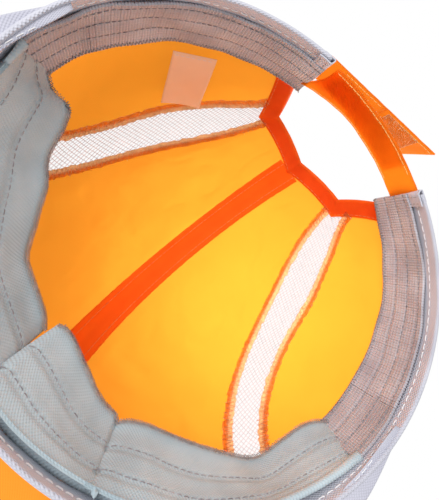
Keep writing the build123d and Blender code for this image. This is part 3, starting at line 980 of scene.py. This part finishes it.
edge_runs = []
for u, last in ((0.06, 0.99), (0.94, 0.97)):
    edge_runs += stitch_runs(strap_edge(inner_strap_place, u, (0.16, last), -1.05 * MM), 1.9 * MM,
                             0.4 * MM, 0.12 * MM, strap_back)
inner_rows = threads("inner_strap_stitches", edge_runs, 0.2 * MM, edge_thread,
                     body="strap_inner_body", sides=4)
inner_strap = cloth("inner_strap", inner_strap_place, (24, 160), (0.0185, 0.0765), 0.9 * MM, strap_look,
                    body=None, stands_for=["strap_inner"],
                    back_to=strap_back)
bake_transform(inner_strap)


def outer_strap_y(x):
    """Middle of the outer strap at x."""
    return (85.8 * MM) + (TAB_FOLD_X - x) * 17.2 / 60


def outer_strap_place(first, last, oblique):
    """Place function of a stretch of the outer strap, its lower corner furthest out if oblique."""

    def place(u, w):
        x = first + (last - first) * w
        x += oblique * 7 * MM * u * max(0.0, (w - 0.7) / 0.3)
        z = STRAP_LOW + (STRAP_HIGH - STRAP_LOW) * u
        crease = 0.3 * MM * math.sin((x - 0.6 * z) / (2.6 * MM)) * noise.noise(Vector((x, z, 0)) / 0.012)
        return Vector((x, outer_strap_y(x) + 0.45 * MM - abs(crease), z))

    return place


JOINT_X = 4 * MM
for name, ends, oblique, bodies, node, bend in (
    ("outer_strap", (36.5 * MM, JOINT_X), 0, ("cap", "strap_outer_body"), "strap_outer", 2 * MM),
    ("outer_strap_end", (JOINT_X, -27.5 * MM), 1, ("strap_outer_body", "strap_end_body"),
     "strap_outer_end", 2 * MM),
):
    place = outer_strap_place(*ends, oblique)
    runs = []
    for u, last in ((0.07, 0.97), (0.93, 0.93)):
        runs += stitch_runs(strap_edge(place, u, (0.3, last), -0.95 * MM), 1.9 * MM, 0.5 * MM,
                            0.12 * MM, strap_back)
    sewn = threads(f"{name}_stitches", runs, 0.2 * MM, edge_thread, body=bodies[1], sides=4)
    piece = cloth(name, place, (20, 80), (0.017, abs(ends[1] - ends[0]) * 1.04), 0.8 * MM, strap_look,
                  body=None, stands_for=[node], back_to=strap_back)
    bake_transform(piece)


def pile(name, place, columns, rows, out, height, look, body, node, back_to):
    """Hook or loop patch: a thin backing with rows of bent filaments standing from it."""
    runs = []
    for i in range(columns):
        for j in range(rows):
            u = (j + 0.5 + random.uniform(-0.3, 0.3)) / rows
            w = (i + 0.5 + random.uniform(-0.3, 0.3)) / columns
            foot = place(u, w)
            lean = Vector((random.uniform(-0.6, 0.6), 0, random.uniform(-0.6, 0.6))) * MM
            runs.append([foot, foot + out * height + lean * 0.5, foot + out * height * 0.55 + lean])
    tufts = threads(f"{name}_filaments", runs, 0.1 * MM, look, body=body, sides=4)
    size = (place(1, 0) - place(0, 0)).length, (place(0, 1) - place(0, 0)).length
    return cloth(name, place, (8, 40), size, 0.25 * MM, look, body=body, stands_for=[node],
                 back_to=back_to)


def loop_place(u, w):
    x = (-22 + 50 * w) * MM
    y = OVAL * math.sqrt((INNER_REACH + 0.25 * MM) ** 2 - x * x)
    return Vector((x, y, STRAP_LOW + (1 + 15 * u) * MM))


def hook_place(u, w):
    x = (1 - 19 * w) * MM
    return Vector((x, outer_strap_y(x) - 0.7 * MM, STRAP_LOW + (1 + 15 * u) * MM))


pile("loop_pile", loop_place, 46, 14, Vector((0, 1, 0)), 0.7 * MM, pile_look, "strap_inner_body",
     "loop_patch", strap_back)
pile("hook_pile", hook_place, 20, 14, Vector((0, -1, 0)), 0.7 * MM, pile_look, "strap_end_body",
     "hook_patch", Vector((0, 1, 0.01)))

# ---------------------------------------------------------------- care label
LABEL_FOOT, LABEL_HEAD = mm(76, 53, 40.8), mm(68, 45, 75)
label_across = Vector((-0.66, 0.75, 0)).normalized()
label_in = label_across.cross((LABEL_HEAD - LABEL_FOOT).normalized())


def label_place(u, w):
    """Blank label: sewn at its foot, its free end curling."""
    up = (LABEL_HEAD - LABEL_FOOT).normalized() * 36 * MM * w
    curl = 1.6 * MM * w * w * math.sin(1.2 + 5 * w) + 1.2 * MM * (2 * u - 1) ** 2 * w
    return LABEL_FOOT + label_across * (u - 0.5) * 21 * MM + up - label_in * curl


label_row = threads("label_stitches", stitch_runs(
    [label_place(0.04 + 0.92 * k / 60, 0.05) + (HEART - label_place(k / 60, 0.05)).normalized()
     * 0.35 * MM for k in range(61)], 1.8 * MM, 0.8 * MM), 0.15 * MM, white_thread,
    body="label_body", sides=4)
cloth("care_label_satin", label_place, (20, 36), (0.021, 0.036), 0.25 * MM, label_look,
      body="label_body", stands_for=["care_label"])

# ---------------------------------------------------------------- floor, light and camera
scene = bpy.context.scene
floor_made = bmesh.new()
bmesh.ops.create_grid(floor_made, x_segments=1, y_segments=1, size=3)
for spot in floor_made.verts:
    spot.co.z = -0.4 * MM
floor = mesh_of("floor", floor_made)
floor_look = bpy.data.materials.new("pale_floor")
floor_look.use_nodes = True
tree = floor_look.node_tree
tree.nodes.clear()
paint = add(tree, "BsdfDiffuse", {"Color": ink(244, 244, 244)})
clear = add(tree, "BsdfTransparent")
add(tree, "OutputMaterial", {"Surface": add(tree, "MixShader", {
    0: add(tree, "NewGeometry").outputs["Backfacing"], 1: paint.outputs[0],
    2: clear.outputs[0]}).outputs[0]})
floor.data.materials.append(floor_look)
floor.visible_diffuse = floor.visible_glossy = floor.visible_transmission = False
floor.visible_shadow = False

world = bpy.data.worlds.new("studio")
scene.world = world
world.use_nodes = True
tree = world.node_tree
tree.nodes.clear()
rays = add(tree, "LightPath")
seen = maths(tree, "MAXIMUM", rays.outputs["Is Camera Ray"], rays.outputs["Is Glossy Ray"])
seen = maths(tree, "MAXIMUM", seen, rays.outputs["Is Transmission Ray"])
soft = add(tree, "Background", {"Color": (1, 1, 1, 1), "Strength": 0.8})
white = add(tree, "Background", {"Color": (1, 1, 1, 1), "Strength": 1.0})
add(tree, "OutputWorld", {"Surface": add(tree, "MixShader", {
    0: seen, 1: soft.outputs[0], 2: white.outputs[0]}).outputs[0]})

lamp_data = bpy.data.lights.new("soft_box", "AREA")
lamp_data.shape, lamp_data.size, lamp_data.energy = "DISK", 0.9, 27
lamp = new_object("soft_box", lamp_data)
lamp.location = (-0.7, 0.35, 0.95)
lamp.rotation_euler = (HEART - lamp.location).to_track_quat("-Z", "Y").to_euler()
fill_data = bpy.data.lights.new("low_fill", "AREA")
fill_data.shape, fill_data.size, fill_data.energy = "DISK", 0.5, 7
fill = new_object("low_fill", fill_data)
fill.location = (0.55, -0.1, -0.75)
fill.rotation_euler = (HEART - fill.location).to_track_quat("-Z", "Y").to_euler()

camera_data = bpy.data.cameras.new("camera")
camera_data.lens, camera_data.sensor_width = 26.55, 36
camera_data.shift_x, camera_data.shift_y = -0.0618, -0.0754
camera_data.clip_start = 0.005
camera = new_object("camera", camera_data)
ahead = Vector((-0.157, 0.333, 0.930)).normalized()
right = ahead.cross(Vector((0.784, 0.614, -0.087))).normalized()
turned = Matrix((right, right.cross(ahead), -ahead)).transposed().to_4x4()
camera.matrix_world = Matrix.Translation(mm(29.76, -31.89, -123.55)) @ turned
scene.camera = camera

scene.view_settings.view_transform = "Standard"
bpy.context.view_layer.update()
